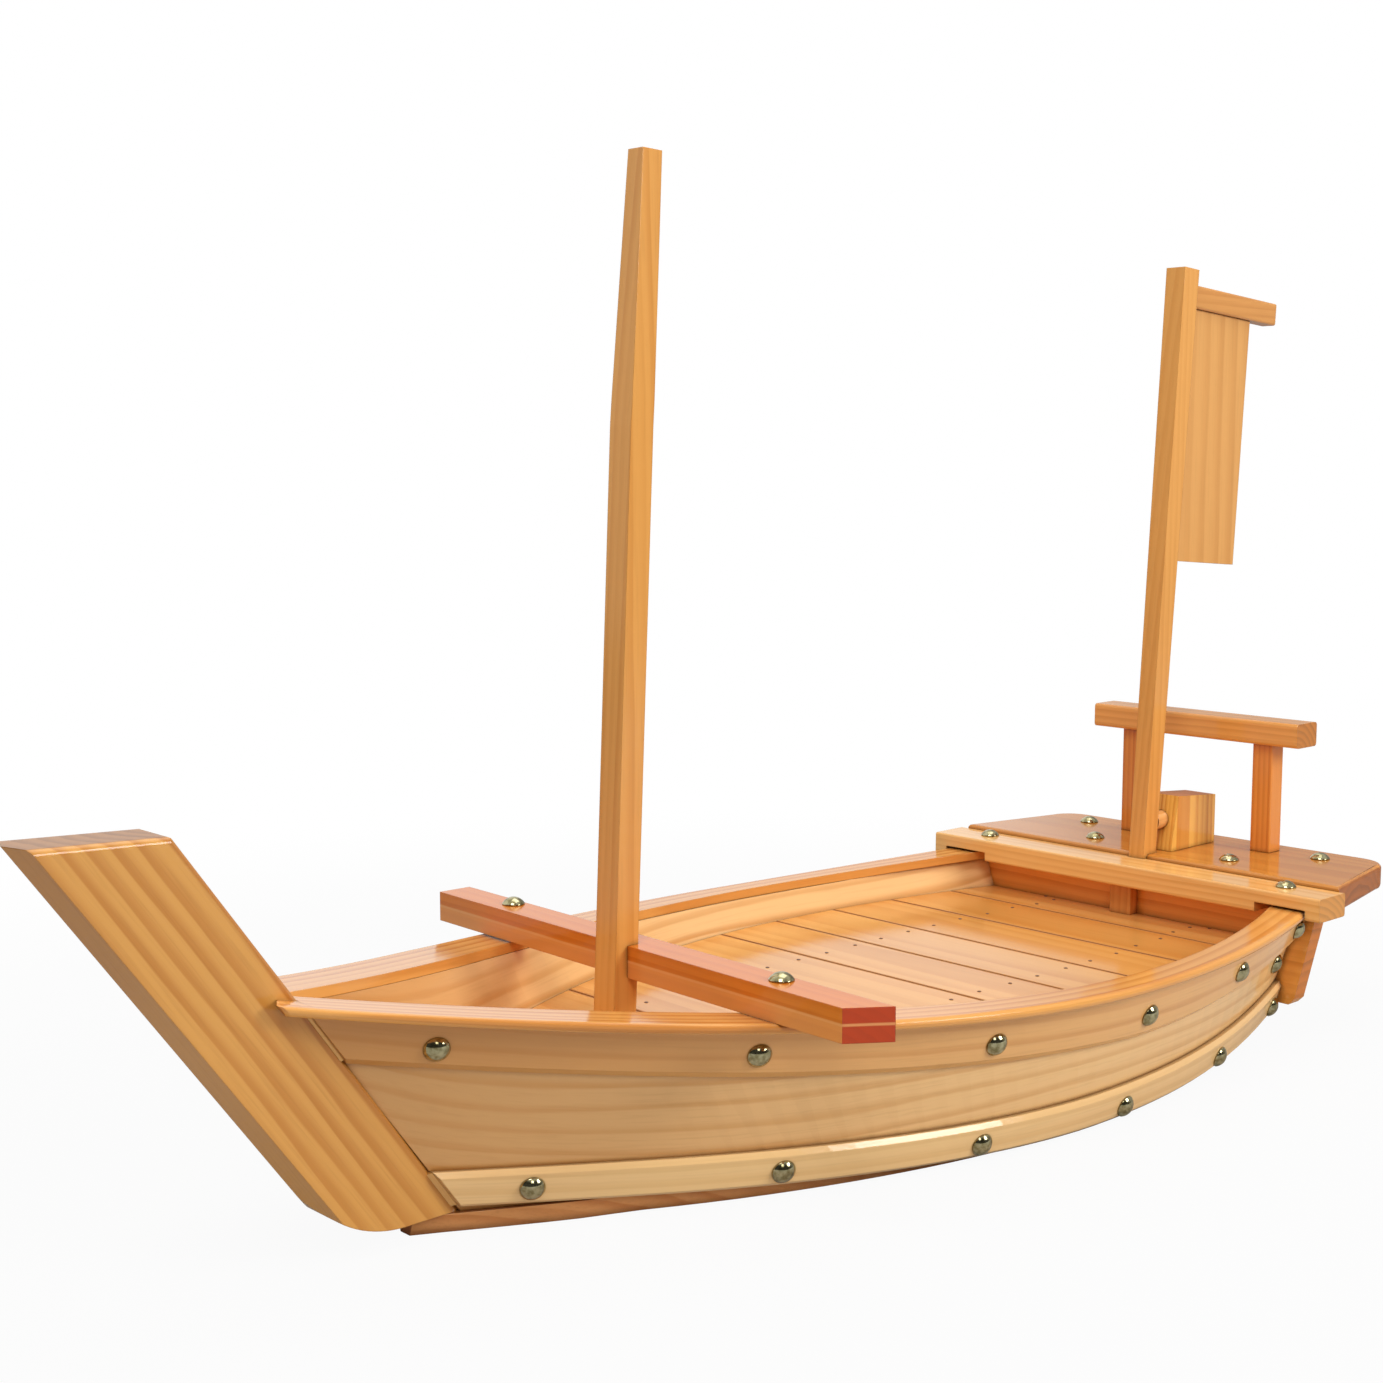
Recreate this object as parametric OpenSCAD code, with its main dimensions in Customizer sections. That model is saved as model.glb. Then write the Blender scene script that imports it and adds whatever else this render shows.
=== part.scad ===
// Wooden serving boat: a flared plank hull with a raked stem, a slatted serving
// floor, two crossbeams, two masts, a board flag and a small railed stern deck.
// Millimetres. X runs from bow to stern, Y to starboard, Z up from the table.

/* [Hull plan] */
// Half breadth inside the side planks at the widest station
hull_half = 118.1; // [106:0.1:132]
// Station of the widest breadth
widest_x = 80; // [60:1:100]
// Station forward of which the sides run straight to the stem
straight_x = -136.5; // [-150:0.5:-120]
// How full the forward sides are, 2 is a parabola
fullness = 1.87; // [1.7:0.01:2.1]
// Half breadth inside the planks where they meet the stem under the rail
stem_meet = 1.5; // [0.5:0.1:4]
// The same at the stem's foot
foot_meet = 5.5; // [3:0.1:8]
// How far the planks draw in between the widest station and the transom
stern_inset = 21.5; // [10:0.5:30]
// Forward face of the transom
transom_x = 246.9; // [235:0.1:260]
// Outward lean of the sides, as breadth gained per unit of height, amidships
flare_mid = 0.3; // [0.2:0.01:0.36]
// The same at the transom
flare_stern = 0.33; // [0.25:0.01:0.38]

/* [Sheer] */
// Height of the rail's top at its lowest point
sheer_low = 68.8; // [62:0.1:80]
// Station of the lowest point
sheer_low_x = 130; // [100:1:150]
// Rise of the rail from there to the stem
sheer_bow_rise = 33; // [20:0.5:40]
// Rise of the rail from there to the transom
sheer_stern_rise = 3; // [0:0.5:8]

/* [Planks and rails] */
// Thickness of a side plank
plank_t = 6; // [4:0.5:8]
// How far a wale stands out of the plank
wale_t = 4; // [2.5:0.5:6]
// Height of the lower wale
lower_wale_h = 15.5; // [10:0.5:20]
// Lowest point of the lower wale above the table
lower_wale_low = 0.8; // [0.6:0.1:3]
// Rise of the lower wale's edge to the stem
lower_wale_bow_rise = 10.5; // [6:0.5:14]
// Depth of the upper wale's bottom edge below the rail's top, at the stem
upper_wale_bow = 23.5; // [18:0.5:28]
// The same at the widest station
upper_wale_mid = 28.8; // [20:0.2:32]
// The same at the transom
upper_wale_stern = 17; // [14:0.5:24]
// Bevel along the upper wale's bottom edge
upper_wale_bevel = 2.7; // [1:0.1:4]
// Bevel along the lower wale's top edge
lower_wale_bevel = 2.4; // [1:0.1:4]
// Thickness of the rail on top of the sides
rail_t = 4.5; // [3:0.5:7]
// How far the rail reaches past the plank's inner line at the widest station
rail_reach = 14.7; // [12:0.1:20]
// The same at the bow
rail_reach_bow = 25; // [20:0.5:30]
// Station forward of which the rail keeps its reach at the bow
full_reach_x = -165; // [-180:1:-145]
// Its reach at the transom
rail_reach_stern = 11.7; // [10:0.1:15]
// How far the rail runs on beside the stem
rail_tip = 12.7; // [6:0.1:24]
// Rail width inboard of the plank at the transom
rail_inboard_stern = 8; // [0:0.5:12]

/* [Stem] */
// Thickness of the stem board
stem_t = 23.4; // [16:0.2:30]
// Width of the stem board across its length, at the foot
stem_w = 36.9; // [30:0.1:45]
// Depth of its pointed nose
stem_nose = 3.3; // [2:0.1:8]
// Lean of the stem from upright, in degrees
stem_rake = 35.8; // [28:0.05:36.4]
// Lean of its nose, which opens a little wider upwards
nose_rake = 36.3; // [35.8:0.05:42]
// Aft lower corner of the stem
heel_x = -203.2; // [-215:0.1:-190]
// Height of the stem's top at its aft edge
stem_top = 166.9; // [140:0.1:190]
// Rise of its top towards the nose, in degrees
top_tilt = 2.6; // [0:0.1:6]
// Rounding of its top's edges
top_round = 2.5; // [1:0.1:4]
// Radius between the nose and the foot
toe_r = 50; // [20:1:60]

/* [Bottom and floor] */
// Thickness of the bottom board
bottom_t = 8; // [6:0.5:12]
// Rise of the bottom board to the transom
bottom_rise = 14.5; // [10:0.5:18]
// Forward tip of the bottom board
bottom_tip_x = -220; // [-228:0.5:-214]
// How far the bottom board stands out of the planks near the stem
bottom_out = 2.3; // [0:0.1:3.5]
// Height of the serving floor's top
floor_z = 50.8; // [40:0.1:54]
// Thickness of a floor board
floor_t = 6; // [4:0.5:9]
// Length that the foremost floor board takes up aft of the stem
first_board_l = 33.7; // [24:0.1:44]
// Length that the last floor board takes up forward of the transom
last_board_l = 29.45; // [20:0.05:44]
// Open joint between two floor boards
board_gap = 0.8; // [0.4:0.1:1.5]
// Thickness of the bearers under the floor
bearer_t = 10; // [6:0.5:12]
// Distance of a bearer from the centre line at its fore end
bearer_y = 46; // [40:0.5:48]
// How far the bearers spread towards the transom
bearer_spread = 6.5; // [0:0.5:14]

/* [Transom] */
// Thickness of the transom
transom_t = 9.5; // [8:0.1:12]
// Lower edge of the transom above the table
transom_low = 19.5; // [18:0.5:24]
// How far the transom's wings stand out of the wales at their lower end
wing = 10; // [6:0.5:14]
// The same at their upper end
wing_top = 4.7; // [2:0.1:10]
// Width of the block that backs the aft mast
step_w = 13; // [10:0.5:16]
// How far that block stands out of the transom
step_out = 6.4; // [4:0.2:9]

/* [Fore crossbeam] */
// Station of the beam's forward face on the centre line
fore_beam_x = -113.4; // [-118:0.1:-108]
// Width of the beam
fore_beam_w = 16.4; // [14:0.2:22]
// Height of the beam
fore_beam_h = 13.3; // [10:0.1:18]
// How far the beam reaches past the rails
fore_beam_over = 31.5; // [15:0.5:40]
// Extra reach of its port end, which is cut at an angle
fore_beam_cut = 11; // [0:0.5:14]
// Turn of the beam seen from above, in degrees
fore_beam_skew = 1.75; // [0:0.05:3]

/* [Aft crossbeam and deck] */
// Width of the aft beam
aft_beam_w = 24.3; // [20:0.1:30]
// Height of the aft beam
aft_beam_h = 11.7; // [9:0.1:15]
// How far it reaches past the rails
aft_beam_over = 12.3; // [6:0.1:16]
// Length of the stern deck
deck_l = 77.7; // [74:0.1:90]
// Thickness of the deck board
deck_t = 12.8; // [9:0.1:15]
// Height of the deck's top above the beam's top
deck_step = 2; // [1:0.1:4]
// How far the deck's front corners stop short of the beam's ends
deck_inset = 3.6; // [0:0.1:10]
// Taper of each deck edge from front to back
deck_taper = 12.5; // [6:0.5:20]
// Radius of the deck's aft corners
deck_corner = 16; // [5:0.5:20]
// Rounding of the deck's edges
deck_edge = 2; // [0.5:0.5:4]
// Length of the batten under the deck
deck_bearer_w = 26.5; // [16:0.5:34]
// Height of that batten
deck_bearer_h = 7; // [5:0.5:12]

/* [Fore mast] */
// Station of the mast's forward face at the floor
fore_mast_x = -121.4; // [-126:0.1:-117]
// Width of the mast
fore_mast_w = 12.8; // [9:0.1:15]
// Depth of the mast
fore_mast_d = 11.9; // [10:0.1:15]
// Length of the mast above the floor
fore_mast_l = 363; // [250:1:450]
// Lean towards the stern, in degrees
fore_mast_lean = 2.47; // [0:0.01:4]
// Length of its tapered head
fore_mast_head = 109; // [60:1:160]
// Width at the top
fore_mast_top_w = 8.8; // [6:0.1:12]
// Depth at the top
fore_mast_top_d = 10.2; // [7:0.1:12]
// Sweep of the tapered head towards the stern
fore_mast_sweep = 3.8; // [0:0.1:6]

/* [Aft mast and flag] */
// Distance of the mast's forward face from the transom's, at the deck's top
aft_mast_aft = 7.2; // [5.6:0.1:9]
// Width at the deck
aft_mast_w = 9.1; // [7:0.1:11]
// Width at the top
aft_mast_top_w = 11.4; // [8:0.1:14]
// Depth at the deck
aft_mast_d = 11.6; // [10:0.1:14]
// Depth at the top
aft_mast_top_d = 13.4; // [11:0.1:16]
// Length above the deck
aft_mast_l = 311.3; // [250:1:400]
// Length below the deck's top
aft_mast_foot = 37; // [20:1:45]
// Lean towards the stern, in degrees
aft_mast_lean = 4.09; // [0:0.01:5]
// Length of the yard behind the mast
yard_l = 80.3; // [65:1:110]
// Height of the yard
yard_h = 12; // [8:0.5:16]
// Thickness of the yard
yard_t = 9; // [6:0.5:12]
// Distance of the yard's top below the masthead
yard_drop = 7.7; // [3:0.1:20]
// Width of the flag board
flag_w = 58.4; // [40:0.5:62]
// Height of the flag board
flag_h = 133.8; // [100:0.2:180]
// Thickness of the flag board
flag_t = 4; // [3:0.5:6]

/* [Stern rail and rudder block] */
// Distance of a rail post from the transom's forward face
post_x = 61.2; // [56:0.1:64]
// Depth of a post
post_d = 11.4; // [8:0.1:14]
// Width of a post
post_w = 12; // [9:0.5:15]
// Half the distance between the two posts' inner faces
post_y = 35.5; // [28:0.1:46]
// Height of a post
post_h = 58.5; // [40:0.5:75]
// Height of the crossbar
bar_h = 12.9; // [8:0.1:15]
// Width of the crossbar
bar_w = 19.8; // [16:0.1:24]
// How far the crossbar reaches past the posts
bar_over = 16.6; // [6:0.1:22]
// Distance of the rudder block from the transom's forward face
block_x = 25.8; // [24:0.1:30]
// Length of the rudder block at its foot
block_l = 42; // [30:0.5:46]
// Width of the rudder block
block_w = 19; // [14:0.5:24]
// Height of the rudder block
block_h = 29.6; // [26:0.1:36]
// How far its fore face leans aft over that height
block_lean = 6; // [2:0.5:10]
// Fall of its top towards the stern
block_slope = 3; // [0:0.5:6]
// Radius of the dowel between block and mast
dowel_r = 5; // [3:0.1:6]
// Height of the dowel's axis above the deck
dowel_z = 16.2; // [12:0.1:18]
// Depth of the dowel's bore in the block
dowel_in = 15; // [8:1:20]

/* [Dome nails] */
// Radius of a nail's head
nail_r = 5.3; // [4:0.1:6.5]
// Height of a nail's head
nail_h = 3.2; // [2:0.1:4]
// Distance of a fore beam's nail inside the rail's outer edge
fore_nail_in = 11.1; // [6:0.1:20]
// Distance of an aft beam's nail from the beam's end
aft_nail_in = 27.2; // [15:0.1:35]
// Distance of the deck's fore nails from the centre line
deck_nail_fore_y = 42.6; // [25:0.1:60]
// Distance of the deck's fore nails from the transom's forward face
deck_nail_fore_x = 30; // [22:0.5:40]
// Distance of the deck's aft nails from the centre line
deck_nail_aft_y = 73.8; // [60:0.1:90]

/* [Hidden] */

$fn = 48;
// Room left between two pieces that meet
fit = 0.1;
// Room round a mast in the pieces that hold it
mast_slack = 0.2;
// Station of the aft mast's forward face at the deck's top
aft_mast_x = transom_x + aft_mast_aft;
// Sections along the hull
stations = 40;
// Rounding along the edges of bars and wales
edge = 1.2;
// Length of a block that cuts something away
long = 2 * (stem_top + stem_w);
pine = [0.87, 0.67, 0.40];
pale_pine = [0.90, 0.74, 0.50];
amber = [0.80, 0.52, 0.26];
old_brass = [0.45, 0.42, 0.30];

// Rail's top: lowest aft of the middle, rising to both ends
stem_tan = tan(stem_rake);
bow_span = sheer_low_x - heel_x + stem_tan * 90;
stern_span = transom_x - sheer_low_x;
function sheer(x) = x < sheer_low_x
  ? sheer_low + sheer_bow_rise * pow((sheer_low_x - x) / bow_span, 2.08)
  : sheer_low + sheer_stern_rise * pow((x - sheer_low_x) / stern_span, 1.85);

// Station at which the stem's aft face meets the rail's top
function head(x, n) = n == 0 ? x : head(heel_x - stem_tan * (sheer(x) - bottom_t), n - 1);
head_x = head(heel_x - stem_tan * 90, 6);

// Half breadth inside the planks at the rail's top
run = widest_x - straight_x;
straight_inset = (hull_half - stem_meet) / (1 + fullness * (straight_x - head_x) / run);
straight_slope = straight_inset * fullness / run;
function drawn_in(x) =
  x >= widest_x ? stern_inset * pow((x - widest_x) / (transom_x - widest_x), 2)
  : x >= straight_x ? straight_inset * pow((widest_x - x) / run, fullness)
  : straight_inset + straight_slope * (straight_x - x);
function hull_at(x) = hull_half - drawn_in(x);
function slope_at(x) = (hull_at(x + 1) - hull_at(x - 1)) / 2;

// Value between a middle and an end one, growing towards that end
function towards(x, mid, end, end_x, p) =
  mid + (end - mid) * pow((x - widest_x) / (end_x - widest_x), p);
flare_bow = (hull_at(heel_x) - foot_meet) / (sheer(heel_x) - bottom_t);
function flare(x) = x > widest_x
  ? towards(x, flare_mid, flare_stern, transom_x, 3)
  : towards(x, flare_mid, flare_bow, heel_x, 3);

// Height of the bottom board: flat, then sprung up to the transom
rocker_x = 60;
function under(x) =
  x < rocker_x ? 0 : bottom_rise * pow((x - rocker_x) / (transom_x - rocker_x), 3);
function bottom_top(x) = under(x) + bottom_t;

// The hull's rings lean with the stem at the bow and stand upright at the transom
function ring_lean(x) = stem_tan * max(0, min(1, (transom_x - x) / (transom_x - head_x)));
function raw_y(x, z) = hull_at(x) - flare(x) * (sheer(x) - z);
function ring_x(x, z) = x + ring_lean(x) * (sheer(x) - z);
function ring_bottom(x) = bottom_top(ring_x(x, bottom_t));
function ring_top(x) = sheer(x) - rail_t - fit;
function skin(x) = sqrt(1 + pow(slope_at(x), 2) + pow(flare(x), 2));
// Point on ring x at height z, off millimetres outside the plank's inner face
function wall(x, z, off) =
  let(
    zb = ring_bottom(x),
    zt = ring_top(x),
    yb = raw_y(ring_x(x, zb), zb),
    yt = raw_y(ring_x(x, zt), zt),
    px = ring_x(x, z)
  ) [px, yb + (yt - yb) * (z - zb) / (zt - zb) + off * skin(px), z];
// The same at a true station instead of a ring's
function ring_of(x, z, n) =
  n == 0 ? x : let(r = ring_of(x, z, n - 1)) x - ring_lean(r) * (sheer(r) - z);
function wall_y(x, z, off) = wall(ring_of(x, z, 4), z, off)[1];

first_ring = head_x + fit;
last_ring = transom_x - fit;
function station(i) = first_ring + (last_ring - first_ring) * i / stations;

// Closed skin over rings of points, each clockwise seen from the last one's side
module loft(rings) {
  n = len(rings[0]);
  m = len(rings);
  sides = [for (i = [0:m - 2], j = [0:n - 1]) each
    let(a = i * n + j, b = i * n + (j + 1) % n)
    [[a, b, b + n], [a, b + n, a + n]]];
  caps = [[for (j = [n - 1:-1:0]) j], [for (j = [0:n - 1]) (m - 1) * n + j]];
  polyhedron(points = [for (r = rings) each r], faces = concat(sides, caps));
}
// The starboard piece, mirrored to port
module port() {
  mirror([0, 1, 0]) children();
}
// Bar section with rounded edges, its corner at the origin
module eased(w, h, r) {
  translate([r, 0]) square([w - 2 * r, h]);
  translate([0, r]) square([w, h - 2 * r]);
  for (x = [r, w - r], y = [r, h - r]) translate([x, y]) circle(r);
}
// Outline drawn from the side, t thick about the centre line
module side_view(t) {
  rotate([90, 0, 0]) linear_extrude(height = t, center = true) children();
}
// Outline drawn from behind, running l towards the stern
module end_view(l) {
  rotate([90, 0, 90]) linear_extrude(height = l) children();
}

// What a round of radius r takes off the corner c between edges that leave it at two angles
module corner_waste(c, a1, a2, r) {
  half = (a2 - a1) / 2;
  mid = (a1 + a2) / 2;
  t = r / tan(half);
  centre = c + r / sin(half) * [cos(mid), sin(mid)];
  difference() {
    side_view(2 * stem_t)
      polygon([c - [cos(mid), sin(mid)], c + t * [cos(a1), sin(a1)], centre, c + t * [cos(a2), sin(a2)]]);
    translate([centre[0], 0, centre[1]]) rotate([90, 0, 0])
      cylinder(r = r, h = 3 * stem_t, center = true, $fn = 96);
  }
}
// Raked stem board with a pointed nose, a flat foot, a rounded toe and an eased top
module stem_post() {
  h = stem_t / 2;
  r = top_round;
  foot_z = bottom_t + fit;
  nose_x = heel_x - (stem_w + stem_nose) / cos(stem_rake);
  deep = 2 * stem_w;
  top_x = heel_x - stem_tan * (stem_top - bottom_t);
  color(pine) difference() {
    intersection() {
      translate([heel_x, 0, bottom_t]) rotate([0, -stem_rake, 0]) translate([0, 0, -80])
        linear_extrude(height = long)
          polygon([[0, edge - h], [-edge, -h], [-deep, -h], [-deep, h], [-edge, h], [0, h - edge]]);
      translate([nose_x, 0, foot_z]) rotate([0, -nose_rake, 0]) translate([0, 0, -80])
        linear_extrude(height = long)
          polygon([[0, 0], [stem_nose, h], [deep, h], [deep, -h], [stem_nose, -h]]);
      translate([top_x, 0, stem_top]) rotate([0, top_tilt, 0]) translate([-long / 2, 0, 0])
        end_view(long) {
          translate([-h, -long]) square([2 * h, long - r]);
          translate([r - h, -long]) square([2 * (h - r), long]);
          for (y = [r - h, h - r]) translate([y, -r]) circle(r);
        }
    }
    translate([heel_x - long / 2, -stem_t, foot_z - long / 2]) cube([long, 2 * stem_t, long / 2]);
    corner_waste([nose_x, foot_z], 0, 90 + nose_rake, toe_r);
    corner_waste([top_x, stem_top], 180 - top_tilt, 270 + stem_rake, r);
  }
}

// Bottom board, flush with the planks' outer faces, standing out of them near the stem
board_flush_x = -140;
board_out_x = -165;
function board_off(x) = plank_t - 0.4
  + bottom_out * max(0, min(1, (board_flush_x - x) / (board_flush_x - board_out_x)));
module bottom_board() {
  tip = 3;
  color(amber) loft([for (i = [0:stations])
    let(
      x = bottom_tip_x + (last_ring - bottom_tip_x) * i / stations,
      zb = under(x),
      zt = bottom_top(x),
      yb = max(tip, wall_y(x, zb, board_off(x))),
      yt = max(tip, wall_y(x, zt, board_off(x)))
    ) [[x, -yb, zb], [x, -yt, zt], [x, yt, zt], [x, yb, zb]]]);
}

// Side plank from the stem's aft face to the transom, standing on the bottom board
module side_plank() {
  color(pale_pine) loft([for (i = [0:stations])
    let(x = station(i), zb = ring_bottom(x) + fit, zt = ring_top(x))
    [wall(x, zb, plank_t), wall(x, zb, 0), wall(x, zt, 0), wall(x, zt, plank_t)]]);
}

wale_in = plank_t + fit / 2;
wale_out = plank_t + wale_t;
// Section of a batten on the plank between two heights, its outer edges eased
function wale_ring(x, zb, zt, foot, head) = [
  wall(x, zb, wale_in),
  wall(x, zt, wale_in),
  wall(x, zt, wale_out - min(head, 0.9 * wale_t) * 0.8),
  wall(x, zt - head, wale_out),
  wall(x, zb + foot, wale_out),
  wall(x, zb, wale_out - min(foot, 0.9 * wale_t) * 0.8)
];
function upper_depth(x) = x > widest_x
  ? towards(x, upper_wale_mid, upper_wale_stern, transom_x, 2)
  : towards(x, upper_wale_mid, upper_wale_bow, head_x, 0.7);
module upper_wale() {
  color(pine) loft([for (i = [0:stations])
    let(x = station(i), foot_x = ring_x(x, sheer(x) - upper_depth(x)))
    wale_ring(x, sheer(foot_x) - upper_depth(foot_x), ring_top(x), upper_wale_bevel, edge)]);
}
// Lower edge of the lower wale, rising to both ends
function lower_edge(x) = lower_wale_low + (x < rocker_x
  ? lower_wale_bow_rise * pow((rocker_x - x) / (rocker_x - heel_x), 1.4)
  : under(x));
module lower_wale() {
  color(pine) loft([for (i = [0:stations])
    let(x = station(i), low = lower_edge(ring_x(x, bottom_t)))
    wale_ring(x, low, low + lower_wale_h, edge, lower_wale_bevel)]);
}

// Rail edges seen from above: it oversails the wale, most of all at the bow
function reach(x) = x > widest_x
  ? towards(x, rail_reach, rail_reach_stern, transom_x, 1)
  : rail_reach + (rail_reach_bow - rail_reach) * min(1, (widest_x - x) / (widest_x - full_reach_x));
function rail_outer(x) = hull_at(x) + reach(x);
function rail_inboard(x) = x > widest_x ? towards(x, 0, rail_inboard_stern, transom_x, 2) : 0;
function rail_inner(x) = max(fit, hull_at(x) - rail_inboard(x));
rail_round = 2;
beside_stem = stem_t / 2 + fit;
rail_end_x = transom_x + transom_t - 1;
// Section of the rail from xi, yi inside to xo, yo outside, its outer edge round
function rail_ring(xi, yi, xo, yo) =
  let(lean = ring_lean(xo), zs = sheer(xo))
  concat(
    [[xi + lean * rail_t, yi, zs - rail_t], [xi, yi, zs]],
    [for (a = [90:-30:-90])
      let(drop = rail_t * (1 - sin(a)) / 2)
      [xo + lean * drop, yo - rail_round * (1 - cos(a)), zs - drop]]
  );
// Rail along the plank and on beside the stem, where it is cut square to its run
module gunwale_rail() {
  tip_x = head_x - rail_tip;
  tip_y = rail_outer(tip_x);
  inner_x = tip_x + straight_slope * (tip_y - beside_stem);
  corner = 0.8;
  beside = [for (t = [0, 0.1, 0.4, 0.7, 1])
    let(
      xo = tip_x + (first_ring - tip_x) * t,
      xi = inner_x + (first_ring - inner_x) * t
    ) rail_ring(xi, beside_stem, xo + (t == 0 ? corner * 0.2 : 0), rail_outer(xo) - (t == 0 ? corner : 0))];
  along = [for (i = [0:stations])
    let(x = first_ring + fit + (rail_end_x - first_ring - fit) * i / stations)
    rail_ring(x, rail_inner(x), x, rail_outer(x))];
  color(amber) loft(concat(beside, along));
}

// Transom with wings outside the wales and a housing for the aft mast
transom_top = ring_top(transom_x);
module transom() {
  ease = 3;
  half_low = wall_y(transom_x, transom_low, wale_out) + wing;
  half_top = wall_y(transom_x, transom_top, wale_out) + wing_top;
  color(amber) difference() {
    translate([transom_x, 0, 0]) end_view(transom_t)
      polygon([
        [-half_top, transom_top], [-half_low, transom_low + ease],
        [-half_low + ease, transom_low], [half_low - ease, transom_low],
        [half_low, transom_low + ease], [half_top, transom_top]
      ]);
    aft_mast_room();
  }
}
// Block on the transom's inner face, behind it the aft mast's foot
module mast_step_block() {
  color(pine) translate([transom_x - fit - step_out, -step_w / 2, floor_z + fit])
    cube([step_out, step_w, transom_top - floor_z - fit]);
}

// Serving floor, board by board from the bow
boards = 12;
under_floor = floor_z - floor_t;
stem_back_at_floor = heel_x - stem_tan * (under_floor - bottom_t);
first_joint = stem_back_at_floor + first_board_l;
last_joint = transom_x - last_board_l;
function joint(k) = k == 0 ? stem_back_at_floor + 1
  : k == boards ? transom_x
  : first_joint + (last_joint - first_joint) * (k - 1) / (boards - 2);
module floor_board(k) {
  x0 = joint(k - 1) + board_gap / 2;
  x1 = joint(k) - board_gap / 2;
  side_gap = 0.3;
  least = 0.5;
  color(pine) loft([for (i = [0:4])
    let(
      x = x0 + (x1 - x0) * i / 4,
      yl = max(least, wall_y(x, under_floor, -side_gap)),
      yu = max(least, wall_y(x, floor_z, -side_gap))
    ) [[x, -yl, under_floor], [x, -yu, floor_z], [x, yu, floor_z], [x, yl, under_floor]]]);
}

// Bearers under the floor, standing on the bottom board
bearer_top = under_floor - fit;
bearer_x = -100;
module floor_bearer() {
  half = bearer_t / 2;
  steps = 12;
  color(amber) loft([for (i = [0:steps])
    let(
      t = i / steps,
      x = bearer_x + (last_ring - bearer_x) * t,
      y = bearer_y + bearer_spread * t,
      zb = bottom_top(x) + fit
    ) [[x, y - half, zb], [x, y - half, bearer_top], [x, y + half, bearer_top], [x, y + half, zb]]]);
}
module floor_bearer_bow() {
  aft_x = bearer_x - 20;
  low = bottom_t + fit;
  heel = heel_x + 9;
  color(amber) side_view(bearer_t)
    polygon([[heel, low], [aft_x, low], [aft_x, bearer_top],
      [heel - stem_tan * (bearer_top - low), bearer_top]]);
}

// Fore beam on the rails, turned a little in plan and notched for the mast
fore_beam_half = rail_outer(fore_beam_x) + fore_beam_over;
fore_beam_z = sheer(fore_beam_x - tan(fore_beam_skew) * rail_outer(fore_beam_x)) + fit;
module on_fore_beam() {
  translate([fore_beam_x, 0, fore_beam_z]) rotate([0, 0, -fore_beam_skew]) children();
}
module fore_crossbeam() {
  color(amber) difference() {
    on_fore_beam() linear_extrude(height = fore_beam_h)
      polygon([
        [0, -fore_beam_half], [fore_beam_w, -fore_beam_half - fore_beam_cut],
        [fore_beam_w, fore_beam_half], [0, fore_beam_half]
      ]);
    on_fore_mast() translate([-20, -fore_mast_w / 2 - mast_slack, 0])
      cube([20 + fore_mast_d + mast_slack, fore_mast_w + 2 * mast_slack, 2 * fore_beam_z]);
  }
}

// Fore mast: square below, its head tapered and swept aft
module on_fore_mast() {
  translate([fore_mast_x, 0, floor_z]) rotate([0, fore_mast_lean, 0]) children();
}
module fore_mast() {
  l = fore_mast_l;
  below = -5;
  bend = l - fore_mast_head;
  w = fore_mast_w / 2;
  tw = fore_mast_top_w / 2;
  shoulder = l - 0.9 * fore_mast_head;
  color(pine) difference() {
    on_fore_mast() intersection() {
      side_view(2 * fore_mast_w)
        polygon([
          [0, below], [0, bend], [fore_mast_sweep, l], [fore_mast_sweep + fore_mast_top_d, l],
          [fore_mast_d, bend], [fore_mast_d, below]
        ]);
      translate([-fore_mast_d, 0, 0]) end_view(4 * fore_mast_d)
        polygon([[-w, below], [w, below], [w, shoulder], [tw, l], [-tw, l], [-w, shoulder]]);
    }
    translate([fore_mast_x - 30, -30, floor_z + fit - 20]) cube([60, 60, 20]);
  }
}

// Aft beam on the transom, notched over the rails
aft_beam_x1 = transom_x + transom_t;
aft_beam_x0 = aft_beam_x1 - aft_beam_w;
aft_beam_z = transom_top + fit;
aft_beam_half = rail_outer(transom_x) + aft_beam_over;
module aft_crossbeam() {
  notch_in = rail_inner(rail_end_x) - 0.5;
  notch_out = rail_outer(aft_beam_x0) + 0.5;
  notch_top = sheer(rail_end_x) + fit;
  color(pine) difference() {
    translate([aft_beam_x0, 0, aft_beam_z]) side_view(2 * aft_beam_half)
      eased(aft_beam_w, aft_beam_h, edge);
    for (y = [-notch_out, notch_in])
      translate([aft_beam_x0 - 1, y, aft_beam_z - 1])
        cube([aft_beam_w + 2, notch_out - notch_in, notch_top - aft_beam_z + 1]);
    aft_mast_room();
  }
}

// Stern deck: one board behind the beam, its sides tapered and aft corners round
deck_x = aft_beam_x1 + 0.4;
deck_top = aft_beam_z + aft_beam_h + deck_step;
deck_z = deck_top - deck_t;
deck_half = aft_beam_half - deck_inset;
function deck_outline(in, z) =
  let(r = deck_corner, cx = deck_l - r, cy = deck_half - deck_taper - r)
  concat(
    [[deck_x + in, in - deck_half, z], [deck_x + in, deck_half - in, z]],
    [for (a = [90:-15:0]) [deck_x + cx + (r - in) * cos(a), cy + (r - in) * sin(a), z]],
    [for (a = [0:-15:-90]) [deck_x + cx + (r - in) * cos(a), -cy + (r - in) * sin(a), z]]
  );
module stern_deck() {
  e = deck_edge;
  below = [for (a = [-90:30:0]) deck_outline(e * (1 - cos(a)), deck_z + e * (1 + sin(a)))];
  above = [for (a = [0:30:90]) deck_outline(e * (1 - cos(a)), deck_top - e * (1 - sin(a)))];
  color(amber) difference() {
    loft(concat(below, above));
    aft_mast_room();
  }
}
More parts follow.
